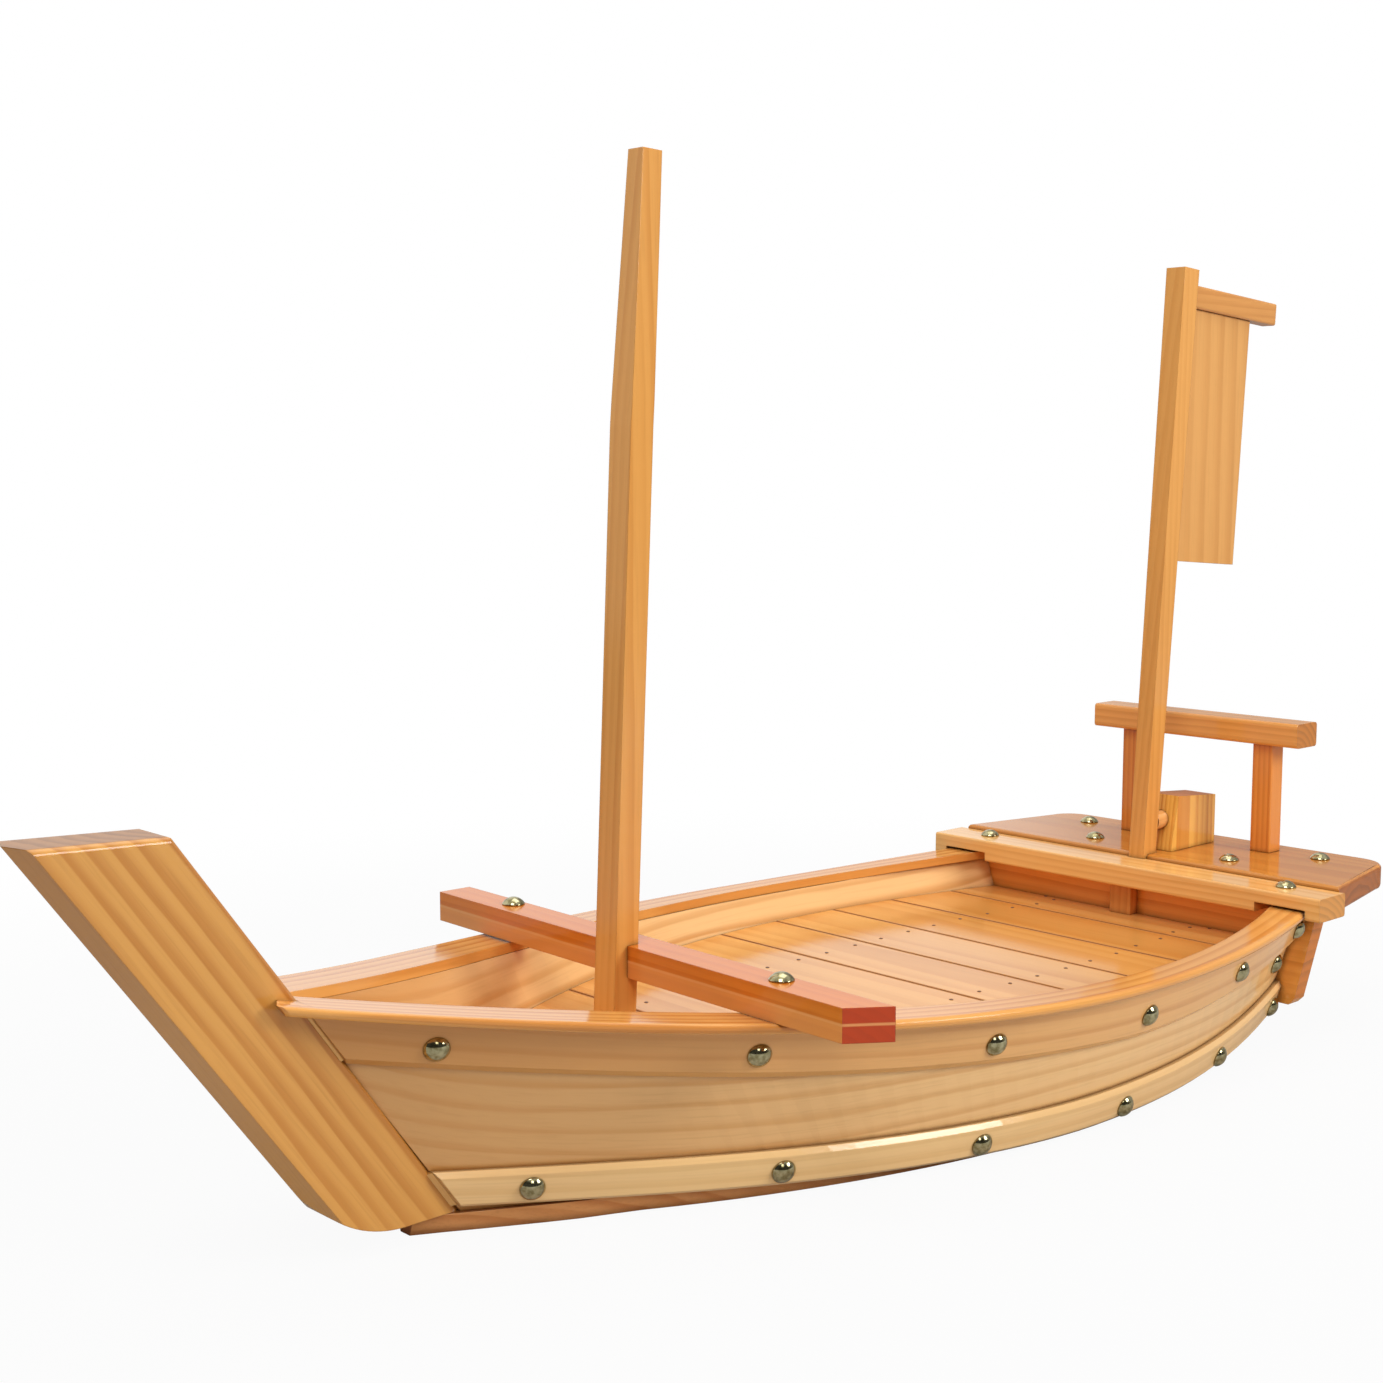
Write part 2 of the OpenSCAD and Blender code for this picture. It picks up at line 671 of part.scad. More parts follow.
// Batten under the deck, along the transom's aft face
module deck_bearer() {
  half = deck_half * 0.67;
  color(pine) difference() {
    translate([aft_beam_x1 + fit, -half, deck_z - fit - deck_bearer_h])
      cube([deck_bearer_w, 2 * half, deck_bearer_h]);
    aft_mast_room();
  }
}

// Aft mast: widens towards its top, stands through the deck against the transom
module on_aft_mast() {
  translate([aft_mast_x, 0, deck_top]) rotate([0, aft_mast_lean, 0]) children();
}
module aft_mast_room() {
  on_aft_mast()
    translate([-mast_slack, -aft_mast_w / 2 - mast_slack, -aft_mast_foot - mast_slack])
      cube([aft_mast_d + 2 * mast_slack, aft_mast_w + 2 * mast_slack, aft_mast_foot + 20]);
}
// Depth of the mast at height z along it
function aft_d(z) = aft_mast_d + (aft_mast_top_d - aft_mast_d) * z / aft_mast_l;
module aft_mast() {
  l = aft_mast_l;
  w = aft_mast_w / 2;
  tw = aft_mast_top_w / 2;
  color(pine) on_aft_mast() intersection() {
    side_view(2 * aft_mast_top_w)
      polygon([
        [0, -aft_mast_foot], [0, l], [aft_mast_top_d, l], [aft_mast_d, 0],
        [aft_mast_d, -aft_mast_foot]
      ]);
    translate([-aft_mast_d, 0, 0]) end_view(4 * aft_mast_d)
      polygon([
        [-w, -aft_mast_foot], [w, -aft_mast_foot], [w, 0], [tw, l], [-tw, l], [-w, 0]
      ]);
  }
}

// Yard and board flag behind the masthead
yard_z = aft_mast_l - yard_drop - yard_h;
module flag_yard() {
  color(pine) on_aft_mast()
    translate([aft_d(yard_z + yard_h) + fit, -yard_t / 2, yard_z])
      end_view(yard_l) eased(yard_t, yard_h, edge);
}
module flag_board() {
  z1 = yard_z - fit;
  z0 = z1 - flag_h;
  aft_x = aft_d(z1) + flag_w;
  color(pale_pine) on_aft_mast() side_view(flag_t)
    polygon([[aft_d(z0) + fit, z0], [aft_d(z1) + fit, z1], [aft_x, z1], [aft_x, z0]]);
}

// Stern rail: two posts on the deck and a crossbar over them
post_fore_x = transom_x + post_x;
bar_z = deck_top + fit + post_h;
module rail_post() {
  color(pine) translate([post_fore_x, post_y, deck_top + fit])
    linear_extrude(height = post_h - fit) eased(post_d, post_w, 1);
}
module rail_crossbar() {
  color(pine) translate([post_fore_x + (post_d - bar_w) / 2, 0, bar_z])
    side_view(2 * (post_y + post_w + bar_over)) eased(bar_w, bar_h, 1.5 * edge);
}

// Rudder block on the deck with its dowel to the mast
block_fore_x = transom_x + block_x;
block_face = block_fore_x + block_lean * dowel_z / block_h;
module along_dowel(x) {
  translate([x, 0, deck_top + dowel_z]) rotate([0, 90, 0]) children();
}
module rudder_block() {
  color(amber) difference() {
    translate([block_fore_x, 0, deck_top + fit]) side_view(block_w)
      polygon([[0, 0], [block_lean, block_h], [block_l, block_h - block_slope], [block_l, 0]]);
    along_dowel(block_face - 10) cylinder(r = dowel_r + fit, h = 10 + dowel_in);
  }
}
module tiller_dowel() {
  dowel_top = dowel_z + dowel_r;
  start = aft_mast_x + dowel_top * tan(aft_mast_lean) + aft_d(dowel_top) / cos(aft_mast_lean) + fit;
  color(pale_pine) along_dowel(start) cylinder(r = dowel_r, h = block_face + dowel_in - fit - start);
}

// Dome nail head: a cap of a sphere, its flat base on the wood
module dome() {
  cap_r = (nail_r * nail_r + nail_h * nail_h) / (2 * nail_h);
  color(old_brass) intersection() {
    translate([0, 0, nail_h - cap_r]) sphere(r = cap_r);
    cylinder(r = nail_r + 1, h = nail_h + 1);
  }
}
// Head on the hull's side at station x and height z, off millimetres outside the plank's inner face
module side_nail(x, z, off) {
  n = [
    (wall_y(x - 1, z, off) - wall_y(x + 1, z, off)) / 2, 1,
    (wall_y(x, z - 1, off) - wall_y(x, z + 1, off)) / 2
  ];
  translate([x, wall_y(x, z, off + fit), z])
    rotate([0, acos(n[2] / norm(n)), atan2(n[1], n[0])]) dome();
}
// Nails along the upper wale: part of its length, part of its height from its top
upper_nails = [[0.089, 0.56], [0.307, 0.53], [0.508, 0.58], [0.69, 0.57], [0.846, 0.47], [0.98, 0.39]];
// Nails along the lower wale: part of its length, part of its height from its foot
lower_nails = [[0.045, 0.42], [0.249, 0.4], [0.45, 0.37], [0.649, 0.34], [0.839, 0.34], [0.983, 0.34]];
module hull_nails() {
  for (n = upper_nails) {
    x = head_x + (transom_x - head_x) * n[0];
    side_nail(x, sheer(x) - rail_t - (upper_depth(x) - rail_t) * n[1], wale_out);
  }
  for (n = lower_nails) {
    x = heel_x + (transom_x - heel_x) * n[0];
    side_nail(x, lower_edge(x) + n[1] * lower_wale_h, wale_out);
  }
  between_x = transom_x - 14;
  side_nail(between_x, sheer(between_x) - upper_depth(between_x) - nail_r - 4, plank_t);
}
module fore_beam_nails() {
  y = rail_outer(fore_beam_x) - fore_nail_in;
  for (side = [-1, 1])
    on_fore_beam() translate([fore_beam_w * 0.64, side * y, fore_beam_h + fit]) dome();
}
module aft_beam_nails() {
  y = aft_beam_half - aft_nail_in;
  for (side = [-1, 1])
    translate([aft_beam_x0 + aft_beam_w * 0.625, side * y, aft_beam_z + aft_beam_h + fit]) dome();
}
module deck_nails() {
  for (side = [-1, 1]) {
    translate([transom_x + deck_nail_fore_x, side * deck_nail_fore_y, deck_top + fit]) dome();
    translate([post_fore_x + 6.6, side * deck_nail_aft_y, deck_top + fit]) dome();
  }
}

stem_post();
bottom_board();
port() side_plank();  // side_plank_port
side_plank();  // side_plank_starboard
port() upper_wale();  // upper_wale_port
upper_wale();  // upper_wale_starboard
port() lower_wale();  // lower_wale_port
lower_wale();  // lower_wale_starboard
port() gunwale_rail();  // gunwale_rail_port
gunwale_rail();  // gunwale_rail_starboard
transom();
mast_step_block();
for (k = [1:boards])
  floor_board(k);
port() floor_bearer();  // floor_bearer_port
floor_bearer();  // floor_bearer_starboard
floor_bearer_bow();
fore_crossbeam();
fore_mast();
aft_crossbeam();
aft_mast();
flag_yard();
flag_board();
stern_deck();
deck_bearer();
port() rail_post();  // rail_post_port
rail_post();  // rail_post_starboard
rail_crossbar();
rudder_block();
tiller_dowel();
port() hull_nails();  // hull_nails_port
hull_nails();  // hull_nails_starboard
fore_beam_nails();
aft_beam_nails();
deck_nails();
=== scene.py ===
# %% [markdown]
# # A wooden serving boat, dressed in Blender
# The solids come from the CAD model. This lesson gives them lacquered pine and old brass, adds the nails'
# smooth domes, the small brads of the floor and four strips of filler, and sets a plain white studio
# round them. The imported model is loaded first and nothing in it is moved: every later piece takes its
# place from it.

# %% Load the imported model
from math import cos, pi, radians, sin, tan

import bmesh
import bpy
import numpy as np
from mathutils import Matrix, Vector


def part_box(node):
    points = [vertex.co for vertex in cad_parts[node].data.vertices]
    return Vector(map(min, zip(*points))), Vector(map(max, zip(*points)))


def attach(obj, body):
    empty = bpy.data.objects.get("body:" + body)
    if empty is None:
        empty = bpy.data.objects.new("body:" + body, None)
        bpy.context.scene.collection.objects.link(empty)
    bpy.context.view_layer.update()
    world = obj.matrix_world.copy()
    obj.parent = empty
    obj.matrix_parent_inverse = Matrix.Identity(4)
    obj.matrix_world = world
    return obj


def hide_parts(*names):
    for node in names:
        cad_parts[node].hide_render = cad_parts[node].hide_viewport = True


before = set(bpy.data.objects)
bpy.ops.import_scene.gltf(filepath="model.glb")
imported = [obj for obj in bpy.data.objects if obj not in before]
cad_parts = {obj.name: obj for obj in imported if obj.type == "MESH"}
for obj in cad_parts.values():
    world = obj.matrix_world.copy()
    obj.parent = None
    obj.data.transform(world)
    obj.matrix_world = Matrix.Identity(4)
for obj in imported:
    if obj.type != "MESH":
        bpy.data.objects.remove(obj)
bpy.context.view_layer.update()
print("CAD nodes:", len(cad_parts))

# %% [markdown]
# ## The camera
# The picture was taken from off the port bow, a little above the rails, with a lens of medium length.
# The place and the angles were found by matching the floor's joints, the beams and the nails to the
# picture, so they are typed here as they came out, for a square frame of 1383 by 1383 pixels.

# %% Set the camera
camera_down = radians(6.69)
camera_turn = radians(-42.98)
camera = bpy.data.objects.new("camera", bpy.data.cameras.new("camera"))
bpy.context.scene.collection.objects.link(camera)
camera.location = (-0.6309, -0.6000, 0.2910)
camera.rotation_euler = (pi / 2 - camera_down, 0, camera_turn)
camera.data.sensor_fit = "HORIZONTAL"
camera.data.angle = radians(38.58)
camera.data.clip_start = 0.01
bpy.context.scene.camera = camera
print("camera angle:", round(camera.data.angle, 4))

# %% [markdown]
# ## Writing a finish as sums
# A procedural finish is a long sum over noises and distances. Built by hand it is dozens of nodes and
# links. Here one small class wraps a socket, so that `1 - mask` or `a * b` adds the Math node by itself.


# %% A level runs through the nodes
class Level:
    """A value or a vector on its way through a node tree."""

    def __init__(self, nodes, socket):
        self.nodes = nodes
        self.socket = socket

    def sum(self, operation, *values):
        return self.nodes.add("Math", {"operation": operation}, dict(enumerate(values)))

    def __add__(self, other):
        return self.sum("ADD", self, other)

    def __radd__(self, other):
        return self.sum("ADD", other, self)

    def __sub__(self, other):
        return self.sum("SUBTRACT", self, other)

    def __rsub__(self, other):
        return self.sum("SUBTRACT", other, self)

    def __mul__(self, other):
        return self.sum("MULTIPLY", self, other)

    def __rmul__(self, other):
        return self.sum("MULTIPLY", other, self)

    def __truediv__(self, other):
        return self.sum("DIVIDE", self, other)

    def __rtruediv__(self, other):
        return self.sum("DIVIDE", other, self)

    def __pow__(self, other):
        return self.sum("POWER", self, other)

    def __abs__(self):
        return self.sum("ABSOLUTE", self)

    def floor(self):
        return self.sum("FLOOR", self)

    def part(self):
        """What stands behind the decimal point."""
        return self.sum("FRACT", self)

    def ease(self, start, end):
        """0 before start, 1 after end, with a soft turn between."""
        return self.nodes.add("MapRange", {"interpolation_type": "SMOOTHSTEP"},
                              {"Value": self, "From Min": start, "From Max": end})


print("1 - mask adds a node by itself:", hasattr(Level, "__rsub__"))

# %% [markdown]
# ## One method for every other node
# The second class holds the tree of a finish, of the floor or of the world. One method adds any node:
# its settings go in first, then the values or links of its sockets. The short methods after it are the
# nodes that wood and brass need again and again.


# %% A finish holds its nodes
class Nodes:
    """The node tree of a finish, of the floor or of the world."""

    def __init__(self, tree):
        self.tree = tree

    def add(self, kind, settings=None, inputs=None, out=0):
        """A new node. Out says which of its outputs comes back, or which ones."""
        node = self.tree.nodes.new("ShaderNode" + kind)
        for key, value in (settings or {}).items():
            setattr(node, key, value)
        for key, value in (inputs or {}).items():
            self.feed(node.inputs[key], value)
        if isinstance(out, tuple):
            return [Level(self, node.outputs[key]) for key in out]
        return Level(self, node.outputs[out])

    def feed(self, socket, value):
        if isinstance(value, Level):
            self.tree.links.new(value.socket, socket)
        else:
            socket.default_value = value

    def split(self, vector):
        """The three numbers of a vector."""
        return self.add("SeparateXYZ", {}, {0: vector}, out=("X", "Y", "Z"))

    def dot(self, a, b):
        """How far vector a reaches along vector b."""
        return self.add("VectorMath", {"operation": "DOT_PRODUCT"}, {0: a, 1: b}, out="Value")

    def larger(self, a, b):
        return self.add("Math", {"operation": "MAXIMUM"}, {0: a, 1: b})

    def blend(self, share, a, b):
        """Colour a, turning into colour b as share goes from 0 to 1."""
        return self.add("Mix", {"data_type": "RGBA"}, {0: share, 6: a, 7: b}, out=2)

    def noise(self, place, scale, seed=0.0, detail=2.0):
        """Noise from 0 to 1, with its own number of waves per metre along each axis."""
        corner = (seed, 1.7 * seed, 0.6 * seed)
        spot = self.add("Mapping", {}, {"Vector": place, "Scale": scale, "Location": corner})
        return self.add("TexNoise", {}, {"Vector": spot, "Scale": 1.0, "Detail": detail, "Roughness": 0.55})

    def chance(self, number):
        """A number from 0 to 1, drawn anew for each value of number."""
        return self.add("TexWhiteNoise", {"noise_dimensions": "1D"}, {"W": number})


def new_finish(name):
    """A material, with its nodes and its shader."""
    material = bpy.data.materials.new(name)
    material.use_nodes = True
    return material, Nodes(material.node_tree), material.node_tree.nodes["Principled BSDF"]


def tone(red, green, blue):
    """A colour as a paint shop writes it, 0 to 255, for Blender's linear sockets."""
    return tuple((c / 255) ** 2.2 for c in (red, green, blue)) + (1.0,)


def times(factor, colour):
    """The colour made darker or lighter by a factor."""
    return tuple(min(1.0, factor * c) for c in colour[:3]) + (1.0,)


print("a warm pine tone is", [round(c, 3) for c in tone(222, 160, 86)])

# %% [markdown]
# ## The rings of pine
# Pine shows its yearly rings: broad pale spring wood that darkens slowly and then stops at a sharp line.
# A picture could be wrapped round each piece, but the rings would not meet at the corners. So the finish
# is a solid one, as in the tree: each piece knows which way its grain runs and where the tree's heart
# lay, and the ring number is the distance from there. A long face then shows stripes, and a cut end
# shows arcs.


# %% Rings round the tree's heart
def heart_distance(nodes, place, heart, drift, seed):
    """Distance from the tree's heart, in a frame whose X runs along the grain."""
    side, up = nodes.split(place)[1:]
    slow = nodes.noise(place, (3, 16, 16), seed)
    other = nodes.noise(place, (4, 22, 22), seed + 9)
    side = side - heart[0] + (slow - 0.5) * drift
    up = up - heart[1] + (other - 0.5) * drift
    return (side * side + up * up) ** 0.5


def summer_wood_of(nodes, place, heart, ring, drift, onset, seed):
    """Up to 1 in the dark line of a year, 0 in its pale wood, and weaker in some years."""
    rings = heart_distance(nodes, place, heart, drift, seed) / ring
    rings = rings + (nodes.noise(place, (9, 120, 120), seed + 3) - 0.5) * 0.4
    year = rings.part()
    strength = nodes.chance(rings.floor() + seed) * 0.6 + 0.4
    return year.ease(onset, 0.85) * (1 - year.ease(0.88, 1.0)) * strength


def looks_along(nodes, axis):
    """1 on the faces that look along the axis, either way, and 0 on the others."""
    return abs(nodes.dot(nodes.add("TexCoord", out="Normal"), axis)).ease(0.7, 0.82)


print("years in a board 50 mm broad, at 5 mm a ring:", round(0.05 / 0.005))

# %% [markdown]
# ## Lacquered pine
# The clear lacquer is a low, nearly even roughness over fine fibres, and a Bevel node rounds every edge
# a little, so that the edges catch the light as sanded and varnished ones do. In each tight corner an
# Ambient Occlusion node darkens the wood to brown: painted shade, for the shadow that falls there. Fibres
# are fine and long, so they have few waves to the metre along the grain and many across it. Place and
# shift can change the pattern's own coordinates, and extra can add a mark of the piece's own.

# %% The pine finish
fibre_waves = (26, 900, 900)
cloud_waves = (4, 16, 16)
relief_waves = (30, 60, 60)
wood_relief = 0.00012
corner_reach = 0.005


def pine(name, spring, summer, place=None, at=(0, 0, 0), turn=(0, 0, 0), axis=(1, 0, 0),
         heart=(0.0, -0.03), ring=0.005, drift=0.006, seed=0.0, depth=0.8, onset=0.2, gloss=0.1,
         edge=0.0006, end=None, end_depth=0.8, corners=0.7, shift=None, extra=None):
    """Lacquered pine: spring and summer are the two tones of a ring.

    At, turn and axis say where the pattern lies and which way the grain runs. Heart is where the tree's
    heart was, ring the breadth of a year, and drift how far the rings wander, all in metres. Depth is
    the strength of the summer wood, and onset where in the year it begins. End is the tone of a cut
    end, end_depth the strength of its arcs, and edge the radius of the edges. The corner shade argument
    says how dark each tight corner is painted: painted shade, for the shadow that falls there.
    """
    material, nodes, shader = new_finish(name)
    spot = nodes.add("TexCoord", out="Object")
    if place is None:
        place = nodes.add("Mapping", {"vector_type": "TEXTURE"},
                          {"Vector": spot, "Location": at, "Rotation": turn})
    else:
        place = place(nodes, spot)
    if shift is not None:
        place = shift(nodes, place)
    summer_wood = summer_wood_of(nodes, place, heart, ring, drift, onset, seed)
    fibre = nodes.noise(place, fibre_waves, seed + 5, 3.0)
    cloud = nodes.noise(place, cloud_waves, seed + 7)
    colour = nodes.blend(summer_wood * depth, spring, summer)
    colour = nodes.blend(fibre.ease(0.45, 0.8) * 0.22, colour, times(0.72, summer))
    colour = nodes.blend(cloud.ease(0.35, 0.7) * 0.35, colour, times(1.18, spring))
    cut_end = looks_along(nodes, axis)
    end = end or times(0.9, summer)
    end_rings = nodes.blend(summer_wood * depth * end_depth, end, times(0.55, end))
    colour = nodes.blend(cut_end, colour, end_rings)
    rougher = cut_end * 0.3
    # Painted shade: an Ambient Occlusion node darkens the wood in each tight corner, where shadow falls.
    open_air = nodes.add("AmbientOcclusion", {"samples": 8}, {"Distance": corner_reach}, out="AO")
    corner = 1 - open_air.ease(0.3, 0.85)
    colour = nodes.blend(corner * corners, colour, times(0.3, summer))
    if extra is not None:
        colour, rougher = extra(nodes, spot, colour, rougher)
    nodes.feed(shader.inputs["Base Color"], colour)
    nodes.feed(shader.inputs["Roughness"], gloss + 0.06 * fibre + rougher)
    shader.inputs["IOR"].default_value = 1.5
    soft_edge = nodes.add("Bevel", {"samples": 4}, {"Radius": edge})
    height = fibre * 0.35 + summer_wood * 0.5 + nodes.noise(place, relief_waves, seed + 11) * 1.5
    bump = nodes.add("Bump", {}, {"Strength": 0.25, "Distance": wood_relief, "Height": height,
                                  "Normal": soft_edge})
    nodes.feed(shader.inputs["Normal"], bump)
    return material


dressed = []


def dress(material, *names):
    """Gives the finish to CAD nodes, which keep their mesh and their place."""
    for name in names:
        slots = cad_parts[name].data.materials
        slots.clear()
        slots.append(material)
        dressed.append(name)


honey = (tone(218, 156, 80), tone(184, 114, 46))
pale = (tone(246, 198, 136), tone(216, 152, 86))
amber = (tone(248, 166, 80), tone(220, 128, 48))
print("honey pine, spring and summer:", [[round(c, 2) for c in tint[:3]] for tint in honey])

# %% [markdown]
# ## The stem
# Each straight bar, board and block has its grain along its length. A Mapping node of the Texture kind
# puts the pattern's zero at the piece's middle and turns its X along the grain. The heart's place decides
# how the piece looks: close by, the face shows arches and the end tight arcs; far off, even stripes. A
# piece that lies along the boat needs no turn. The stem post leans, so its grain leans with it, and its
# cut head is brown end grain with strong arcs.

# %% Finish of the stem
along_x = {}
along_y = {"turn": (0, 0, pi / 2), "axis": (0, 1, 0)}
along_z = {"turn": (0, -pi / 2, 0), "axis": (0, 0, 1)}
rake = radians(35.8)
up_stem = {"turn": (0, -pi / 2 - rake, 0), "axis": (-sin(rake), 0, cos(rake))}


def middle(name):
    low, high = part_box(name)
    return (low + high) / 2


def straight(name, tones, way, **how):
    dress(pine("pine_" + name, *tones, at=middle(name), **way, **how), name)


straight("stem_post", honey, up_stem, heart=(0.012, -0.040), ring=0.0064, drift=0.009, seed=2.0,
         depth=0.85, end=tone(150, 104, 70), end_depth=1.0, corners=0.3)
print("nodes dressed so far:", len(dressed))

# %% [markdown]
# ## Masts, yard and flag board
# The masts are fine, quiet wood: narrow rings and a heart well off to one side, so that they show even
# lines. The flag board was sawn from a larger tree, so its rings are broad.

# %% Finishes of the masts, the yard and the flag board
straight("fore_mast", (tone(224, 158, 82), tone(204, 132, 60)), along_z, heart=(-0.03, 0.02),
         ring=0.0042, drift=0.003, seed=11.0, depth=0.7)
straight("aft_mast", (tone(228, 162, 86), tone(210, 138, 66)), along_z, heart=(-0.03, 0.03),
         ring=0.0036, drift=0.003, seed=13.0, depth=0.7)
straight("flag_yard", (tone(216, 150, 82), tone(194, 122, 60)), along_x, heart=(0.02, 0.03),
         ring=0.004, seed=17.0, depth=0.6)
straight("flag_board", (tone(226, 164, 94), tone(206, 140, 74)), along_z, heart=(0.06, 0.12),
         ring=0.012, drift=0.006, seed=19.0, depth=0.75)
print("nodes dressed so far:", len(dressed))

# %% [markdown]
# ## The stern
# The stern is put together from offcuts, each with a tone of its own. The deck is the darkest, the aft
# beam the palest, and the two posts of the small rail are reddish wood.

# %% Finishes of the beam, the deck and the small rail
straight("aft_crossbeam", (tone(248, 188, 114), tone(226, 154, 78)), along_y, heart=(0.02, -0.03),
         ring=0.0034, seed=23.0)
straight("stern_deck", (tone(208, 136, 60), tone(178, 100, 36)), along_y, heart=(0.01, -0.045),
         ring=0.0052, drift=0.012, seed=29.0)
straight("rail_crossbar", (tone(238, 166, 88), tone(208, 130, 58)), along_y, heart=(0.012, -0.014),
         ring=0.0036, seed=31.0)
straight("rail_post_port", (tone(228, 144, 66), tone(180, 84, 24)), along_z, heart=(-0.03, 0.004),
         ring=0.003, seed=37.0)
straight("rail_post_starboard", (tone(224, 140, 62), tone(182, 90, 30)), along_z, heart=(-0.03, 0.01),
         ring=0.003, seed=41.0)
straight("rudder_block", (tone(246, 188, 92), tone(204, 118, 40)), along_z, heart=(-0.04, 0.01),
         ring=0.0026, drift=0.002, seed=43.0)
straight("tiller_dowel", (tone(232, 170, 104), tone(208, 140, 76)), along_x, heart=(0.01, 0.01),
         ring=0.003, seed=47.0)
straight("transom", amber, along_y, heart=(0.0, -0.06), ring=0.006, drift=0.01, seed=53.0)
straight("mast_step_block", (tone(216, 142, 72), tone(190, 108, 46)), along_z, heart=(0.02, 0.02),
         ring=0.003, seed=59.0)
print("nodes dressed so far:", len(dressed))

# %% [markdown]
# ## Pieces that hardly show
# The bearers under the deck and the floor show only from below or through the joints. They get the same
# kind of wood, each from its own part of a tree.

# %% Finishes of the bearers
straight("deck_bearer", amber, along_y, heart=(0.01, -0.02), ring=0.004, seed=61.0)
straight("floor_bearer_port", amber, along_x, heart=(0.03, 0.02), ring=0.005, seed=67.0)
straight("floor_bearer_starboard", amber, along_x, heart=(-0.03, 0.02), ring=0.005, seed=71.0)
straight("floor_bearer_bow", amber, along_x, heart=(0.02, 0.02), ring=0.005, seed=73.0)
print("nodes dressed so far:", len(dressed))

# %% [markdown]
# ## The fore beam
# This bar is the reddest piece of the boat. It is glued up from two strips, and the pale line of the glue
# runs along it at half its height and across its cut end. The line is a narrow mask on the height, so it
# stays put on every side of the bar. The strip under it is a little paler than the one above.

# %% Finish of the fore beam
beam_low, beam_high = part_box("fore_crossbeam")
glue_height = beam_low.z + 0.52 * (beam_high.z - beam_low.z)
beam_skew = radians(1.75)
along_beam = {"turn": (0, 0, pi / 2 - beam_skew), "axis": (0, 1, 0)}


def glue_line(nodes, spot, colour, rougher):
    height = nodes.split(spot)[2]
    wander = (nodes.noise(spot, (20, 20, 20), 4.0) - 0.5) * 0.0006
    off = height - glue_height + wander
    lower = 1 - off.ease(-0.0004, 0.0004)
    side = 1 - looks_along(nodes, (0, 1, 0))
    colour = nodes.blend(lower * side * 0.6, colour, tone(236, 160, 92))
    line = 1 - abs(off).ease(0.0002, 0.0008)
    return nodes.blend(line * 0.62, colour, tone(240, 172, 104)), rougher


straight("fore_crossbeam", (tone(218, 124, 44), tone(194, 94, 22)), along_beam, heart=(0.03, -0.04),
         ring=0.004, drift=0.004, seed=83.0, depth=0.6, end=tone(184, 60, 4), end_depth=0.3,
         extra=glue_line)
print("glue line at", round(glue_height * 1000, 1), "mm")

# %% [markdown]
# ## Straightening a bent piece
# Planks, wales and rails were sawn straight and bent, so their grain follows the hull. A straight pattern
# would run out of them. Instead the piece's own bend is measured: a short polynomial gives its breadth
# and its height along the boat. The finish subtracts both, which lays the bent piece out straight, and
# the pattern runs along it.


# %% Measure a bend and take it out
def bend_of(name):
    """Breadth and height of a piece along the boat, as two polynomials of the fourth power."""
    points = np.array([v.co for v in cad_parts[name].data.vertices])
    x, y, z = points[:, 0], np.abs(points[:, 1]), points[:, 2]
    return np.polyfit(x, y, 4).tolist(), np.polyfit(x, z, 4).tolist()


def unbent(name, follow=1.0):
    """Lays a bent piece straight. Follow is how closely the grain keeps to its rise and fall."""
    breadth, height = bend_of(name)
    height = [n * follow for n in height]

    def place(nodes, spot):
        x, y, z = nodes.split(spot)
        side, up = breadth[0], height[0]
        for b, h in zip(breadth[1:], height[1:]):
            side, up = side * x + b, up * x + h
        return nodes.add("CombineXYZ", {}, {0: x, 1: abs(y) - side, 2: z - up})

    return place


print("the rail's breadth at the middle of the boat:", round(bend_of("gunwale_rail_port")[0][-1], 3), "m")

# %% [markdown]
# ## The curved hull
# The side planks are pale broad boards whose rings show as long arches, because the grain keeps only
# part of the sheer's curve. The wales are narrow and quieter, the lower pair the palest, and the rails
# are darker with strong stripes. Towards the bow the planks and the upper wales are painted browner:
# partly a browner wood, partly painted shade for the shadow at the bow.


# %% Finishes of the bent pieces
def browner_and_shaded_forward(nodes, spot, colour, rougher):
    # Darker towards the bow: partly a browner tone of the wood, partly painted shade for the shadow at the
    # bow.
    ahead = (-1 * nodes.split(spot)[0]).ease(0.0, 0.27)
    return nodes.blend(ahead * 0.55, colour, tone(192, 124, 56)), rougher


def bent(kind, tones, seed, follow=1.0, **how):
    """Dresses the two pieces of a kind, each from its own part of the tree."""
    for side, own_seed in (("port", seed), ("starboard", seed + 7.0)):
        name = kind + "_" + side
        dress(pine("pine_" + name, *tones, place=unbent(name, follow), seed=own_seed, **how), name)


bent("side_plank", pale, seed=101.0, follow=0.45, heart=(0.0, 0.12), ring=0.0095, drift=0.008,
     depth=1.0, onset=0.5, edge=0.0003, corners=0.85, extra=browner_and_shaded_forward)
bent("upper_wale", (tone(236, 178, 112), tone(212, 146, 82)), seed=121.0, heart=(0.0, 0.09),
     ring=0.0085, drift=0.005, depth=0.75, onset=0.5, edge=0.0004, extra=browner_and_shaded_forward)
bent("lower_wale", (tone(250, 204, 142), tone(234, 182, 118)), seed=141.0, heart=(0.0, 0.08),
     ring=0.007, drift=0.005, depth=0.6)
bent("gunwale_rail", (tone(230, 162, 86), tone(198, 118, 48)), seed=161.0, heart=(0.07, -0.01),
     ring=0.006, drift=0.006, depth=1.0)
straight("bottom_board", (tone(222, 152, 90), tone(194, 116, 60)), along_x, heart=(0.0, -0.05),
         ring=0.006, drift=0.01, seed=181.0)
print("nodes dressed so far:", len(dressed))

